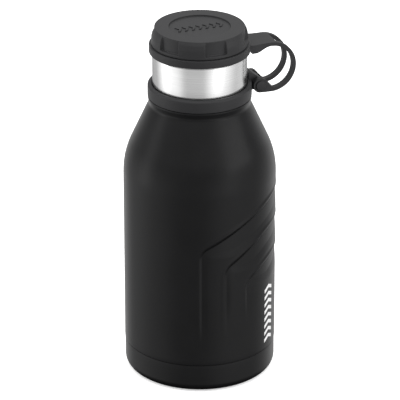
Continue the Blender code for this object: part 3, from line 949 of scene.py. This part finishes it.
def softbox(name, turn_deg, out, height, size, power, aim_z):
    """A rectangular area light at an angle round the bottle from the camera, aimed at it."""
    angle = math.radians(VIEW_DEG + turn_deg)
    data = bpy.data.lights.new(name, "AREA")
    data.shape = "RECTANGLE"
    data.size, data.size_y = size
    data.energy = power
    lamp = bpy.data.objects.new(name, data)
    lamp.location = (out * math.cos(angle), out * math.sin(angle), height)
    lean = math.atan2(height - aim_z, out)
    lamp.rotation_euler = (math.pi / 2 - lean, 0.0, angle + math.pi / 2)
    bpy.context.scene.collection.objects.link(lamp)


def make_world():
    """A pale dome, bright overhead and dark underfoot, with soft bright walls round it.

    Each wall fades out with the angle away from its middle and again above the horizon.
    """
    world = bpy.data.worlds.new("studio")
    world.use_nodes = True
    nodes, links = world.node_tree.nodes, world.node_tree.links

    def chained(kind, operation, source, *values):
        node = nodes.new(kind)
        node.operation = operation
        links.new(source, node.inputs[0])
        for socket, value in zip(node.inputs[1:], values):
            if isinstance(value, bpy.types.NodeSocket):
                links.new(value, socket)
            else:
                socket.default_value = value
        return node.outputs["Value" if operation == "DOT_PRODUCT" else 0]

    def ranged(source, low, high, start, end):
        node = nodes.new("ShaderNodeMapRange")
        node.interpolation_type = "SMOOTHSTEP"
        limits = {"From Min": low, "From Max": high, "To Min": start, "To Max": end}
        for name, value in limits.items():
            node.inputs[name].default_value = value
        links.new(source, node.inputs["Value"])
        return node.outputs[0]

    place = nodes.new("ShaderNodeTexCoord").outputs["Generated"]
    split = nodes.new("ShaderNodeSeparateXYZ")
    links.new(place, split.inputs[0])
    total = 0.0
    level = chained("ShaderNodeVectorMath", "MULTIPLY", place, (1.0, 1.0, 0.0))
    level = chained("ShaderNodeVectorMath", "NORMALIZE", level)
    for turn_deg, width_deg, strength, high_share in WALLS:
        angle = math.radians(VIEW_DEG + turn_deg)
        facing = chained("ShaderNodeVectorMath", "DOT_PRODUCT", level,
                         (math.cos(angle), math.sin(angle), 0.0))
        wall = ranged(facing, math.cos(math.radians(width_deg)), 1.0, 0.0, strength)
        fade = ranged(split.outputs["Z"], -0.20, 0.25, 1.0, high_share)
        wall = chained("ShaderNodeMath", "MULTIPLY", wall, fade)
        total = chained("ShaderNodeMath", "ADD", wall, total)
    dome = ranged(split.outputs["Z"], 0.15, 0.95, HORIZON, OVERHEAD)
    total = chained("ShaderNodeMath", "ADD", total, dome)
    underfoot = ranged(split.outputs["Z"], -0.68, -0.43, 0.03, 1.06)
    total = chained("ShaderNodeMath", "MULTIPLY", total, underfoot)
    links.new(total, nodes["Background"].inputs["Strength"])
    nodes["Background"].inputs["Color"].default_value = (1.0, 1.0, 1.0, 1.0)
    bpy.context.scene.world = world


def make_lights():
    softbox("key_left", -84.0, 0.55, 0.30, (0.16, 0.60), 0.5, 0.20)
    softbox("fill_right", 45.0, 0.60, 0.30, (0.20, 0.60), 0.3, 0.20)
    softbox("strip_right", 66.0, 0.60, 0.36, (0.46, 0.09), 0.65, 0.12)
    make_world()


def make_camera():
    data = bpy.data.cameras.new("camera")
    data.lens = 268.4
    data.sensor_width = 36.0
    data.shift_x = 0.00086
    data.shift_y = 0.00125
    data.clip_end = 50.0
    camera = bpy.data.objects.new("camera", data)
    angle = math.radians(VIEW_DEG)
    camera.location = (CAMERA_OUT * math.cos(angle), CAMERA_OUT * math.sin(angle), CAMERA_UP)
    camera.rotation_euler = (math.radians(90.0 - PITCH_DEG), 0.0, angle + math.pi / 2)
    bpy.context.scene.collection.objects.link(camera)
    bpy.context.scene.camera = camera
    bpy.context.scene.view_settings.view_transform = "Standard"


# ---------------------------------------------------------------- operators

class GROWLER_OT_wall(Operator):
    """Build the coated wall with its pressed arches and printed column"""
    bl_idname = "growler.wall"
    bl_label = "Coated wall"

    def execute(self, context):
        make_wall()
        return {"FINISHED"}


class GROWLER_OT_base(Operator):
    """Build the base cup and the grooved pad under it"""
    bl_idname = "growler.base"
    bl_label = "Base cup and pad"

    def execute(self, context):
        make_base()
        return {"FINISHED"}


class GROWLER_OT_neck(Operator):
    """Build the steel neck, the liner and its lip"""
    bl_idname = "growler.neck"
    bl_label = "Neck and liner"

    def execute(self, context):
        make_neck()
        make_liner()
        return {"FINISHED"}


class GROWLER_OT_tether(Operator):
    """Build the collar, pin, looped strap and tether ring"""
    bl_idname = "growler.tether"
    bl_label = "Collar and tether"

    def execute(self, context):
        make_collar()
        make_pins()
        make_strap()
        make_tether_ring()
        return {"FINISHED"}


class GROWLER_OT_cap(Operator):
    """Build the knob, the stopper and the gasket"""
    bl_idname = "growler.cap"
    bl_label = "Cap"

    def execute(self, context):
        make_knob()
        make_plug()
        make_gasket()
        return {"FINISHED"}


class GROWLER_OT_hidden(Operator):
    """Give the pieces inside the walls their finishes"""
    bl_idname = "growler.hidden"
    bl_label = "Hidden pieces"

    def execute(self, context):
        dress_hidden()
        return {"FINISHED"}


class GROWLER_OT_stage(Operator):
    """Set up the floor, the lights and the camera"""
    bl_idname = "growler.stage"
    bl_label = "Stage"

    def execute(self, context):
        make_floor()
        make_lights()
        make_camera()
        return {"FINISHED"}


OPERATORS = (
    GROWLER_OT_stage,
    GROWLER_OT_wall,
    GROWLER_OT_base,
    GROWLER_OT_neck,
    GROWLER_OT_tether,
    GROWLER_OT_cap,
    GROWLER_OT_hidden,
)


class GROWLER_PT_panel(Panel):
    """Lists the growler's pieces and settings"""
    bl_idname = "GROWLER_PT_panel"
    bl_label = "Growler"
    bl_space_type = "VIEW_3D"
    bl_region_type = "UI"
    bl_category = "Growler"

    def draw(self, context):
        layout = self.layout
        for group in (context.scene.growler_sizes, context.scene.growler_finishes):
            column = layout.column(align=True)
            for name in group.bl_rna.properties.keys():
                if name not in {"rna_type", "name"}:
                    column.prop(group, name)
        for operator in OPERATORS:
            layout.operator(operator.bl_idname)


CLASSES = (GrowlerSizes, GrowlerFinishes, *OPERATORS, GROWLER_PT_panel)


def register():
    for made in CLASSES:
        bpy.utils.register_class(made)
    bpy.types.Scene.growler_sizes = PointerProperty(type=GrowlerSizes)
    bpy.types.Scene.growler_finishes = PointerProperty(type=GrowlerFinishes)


def unregister():
    del bpy.types.Scene.growler_finishes
    del bpy.types.Scene.growler_sizes
    for made in reversed(CLASSES):
        bpy.utils.unregister_class(made)


def main():
    register()
    bpy.ops.growler.stage()
    bpy.ops.growler.wall()
    bpy.ops.growler.base()
    bpy.ops.growler.neck()
    bpy.ops.growler.tether()
    bpy.ops.growler.cap()
    bpy.ops.growler.hidden()


if __name__ == "__main__":
    main()
